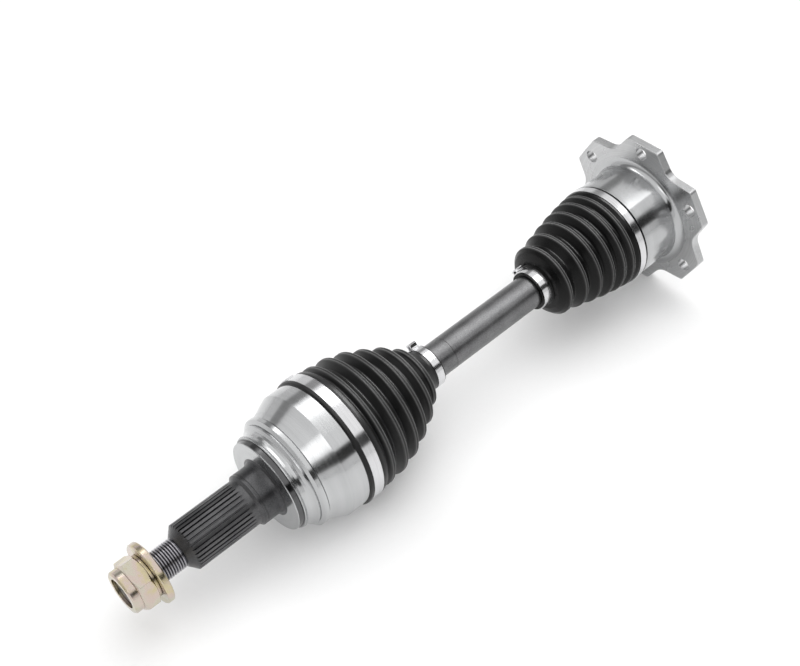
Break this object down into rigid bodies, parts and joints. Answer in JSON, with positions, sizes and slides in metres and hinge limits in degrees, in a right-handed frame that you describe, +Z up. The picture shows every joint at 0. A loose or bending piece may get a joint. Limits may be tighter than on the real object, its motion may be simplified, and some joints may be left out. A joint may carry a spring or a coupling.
{
  "type": "cv axle",
  "caption": "Constant-velocity drive shaft: ball joint with splined stub and nut at the wheel end, tripod plunge joint with lobed flange inboard, bellows boots.",
  "frame": {"origin": "centre of the inner flange's bolt circle, on the flange's rear (mounting) face", "axes": "+X along the axle, out of the flange's rear face towards the gearbox; the wheel end points along -X; +Z up, +Y completes the frame; joints at their straight position"},
  "size_m": [0.5373, 0.133, 0.1368],
  "materials": {
    "bell_steel": "ground and polished",
    "housing_steel": "machined satin",
    "shaft_coating": "dark grey satin",
    "boot_rubber": "satin black",
    "clamp_stainless": "bright rolled",
    "zinc_plate": "yellow zinc plate",
    "cover_sheet": "pressed sheet, dull",
    "bearing_steel": "polished bearing steel",
    "spring_steel": "blued spring steel",
    "forged_steel": "hardened and ground"
  },
  "bodies": {
    "inner_housing": {"inner_housing": "housing_steel", "housing_cover": "cover_sheet", "inner_boot_clamp_large": "clamp_stainless", "inner_boot": "boot_rubber"},
    "plunge_roller": {"roller_1": "bearing_steel"},
    "half_shaft": {"half_shaft": "shaft_coating", "tripod_spider": "forged_steel", "spider_clip_inboard": "spring_steel", "spider_clip_outboard": "spring_steel", "needle_set_1": "bearing_steel", "needle_set_2": "bearing_steel", "needle_set_3": "bearing_steel", "roller_washer_1": "spring_steel", "roller_washer_2": "spring_steel", "roller_washer_3": "spring_steel", "roller_clip_1": "spring_steel", "roller_clip_2": "spring_steel", "roller_clip_3": "spring_steel", "inner_race": "forged_steel", "inner_race_clip": "spring_steel", "inner_boot_clamp_small": "clamp_stainless", "outer_boot_clamp_small": "clamp_stainless"},
    "roller_2": {"roller_2": "bearing_steel"},
    "roller_3": {"roller_3": "bearing_steel"},
    "ball_cage": {"ball_cage": "forged_steel", "ball_1": "bearing_steel", "ball_2": "bearing_steel", "ball_3": "bearing_steel", "ball_4": "bearing_steel", "ball_5": "bearing_steel", "ball_6": "bearing_steel"},
    "outer_race": {"outer_race": "bell_steel", "outer_boot_clamp_large": "clamp_stainless", "outer_boot": "boot_rubber"},
    "nut_washer": {"nut_washer": "zinc_plate"},
    "axle_nut": {"axle_nut": "zinc_plate"}
  },
  "joints": [
    {"name": "inner_plunge", "type": "slide", "parent": "inner_housing", "child": "plunge_roller", "axis": [1, 0, 0], "range_m": [-0.008, 0.008], "deforming": ["inner_boot"]},
    {"name": "inner_tilt", "type": "hinge", "parent": "plunge_roller", "child": "half_shaft", "pos_m": [-0.0354, 0, 0], "axis": [0, 0, 1], "range_deg": [-20, 20], "deforming": ["inner_boot"]},
    {"name": "roller_2_spin", "type": "hinge", "parent": "half_shaft", "child": "roller_2", "pos_m": [-0.0354, 0, 0], "axis": [0, -0.866, -0.5], "continuous": true},
    {"name": "roller_3_spin", "type": "hinge", "parent": "half_shaft", "child": "roller_3", "pos_m": [-0.0354, 0, 0], "axis": [0, 0.866, -0.5], "continuous": true},
    {"name": "outer_tilt", "type": "hinge", "parent": "half_shaft", "child": "outer_race", "pos_m": [-0.3666, 0, 0], "axis": [0, 0, 1], "range_deg": [-45, 45], "deforming": ["outer_boot"]},
    {"name": "cage_tilt", "type": "hinge", "parent": "half_shaft", "child": "ball_cage", "pos_m": [-0.3666, 0, 0], "axis": [0, 0, 1], "range_deg": [-22.5, 22.5]},
    {"name": "nut_travel", "type": "slide", "parent": "outer_race", "child": "nut_washer", "axis": [-1, 0, 0], "range_m": [0, 0.03]},
    {"name": "nut_turn", "type": "hinge", "parent": "nut_washer", "child": "axle_nut", "pos_m": [-0.5224, 0, 0], "axis": [-1, 0, 0], "range_deg": [0, 5400]}
  ],
  "couplings": [
    {"joint": "cage_tilt", "follows": "outer_tilt", "ratio": 0.5},
    {"joint": "nut_travel", "follows": "nut_turn", "m_per_rad": 0.00031831}
  ]
}
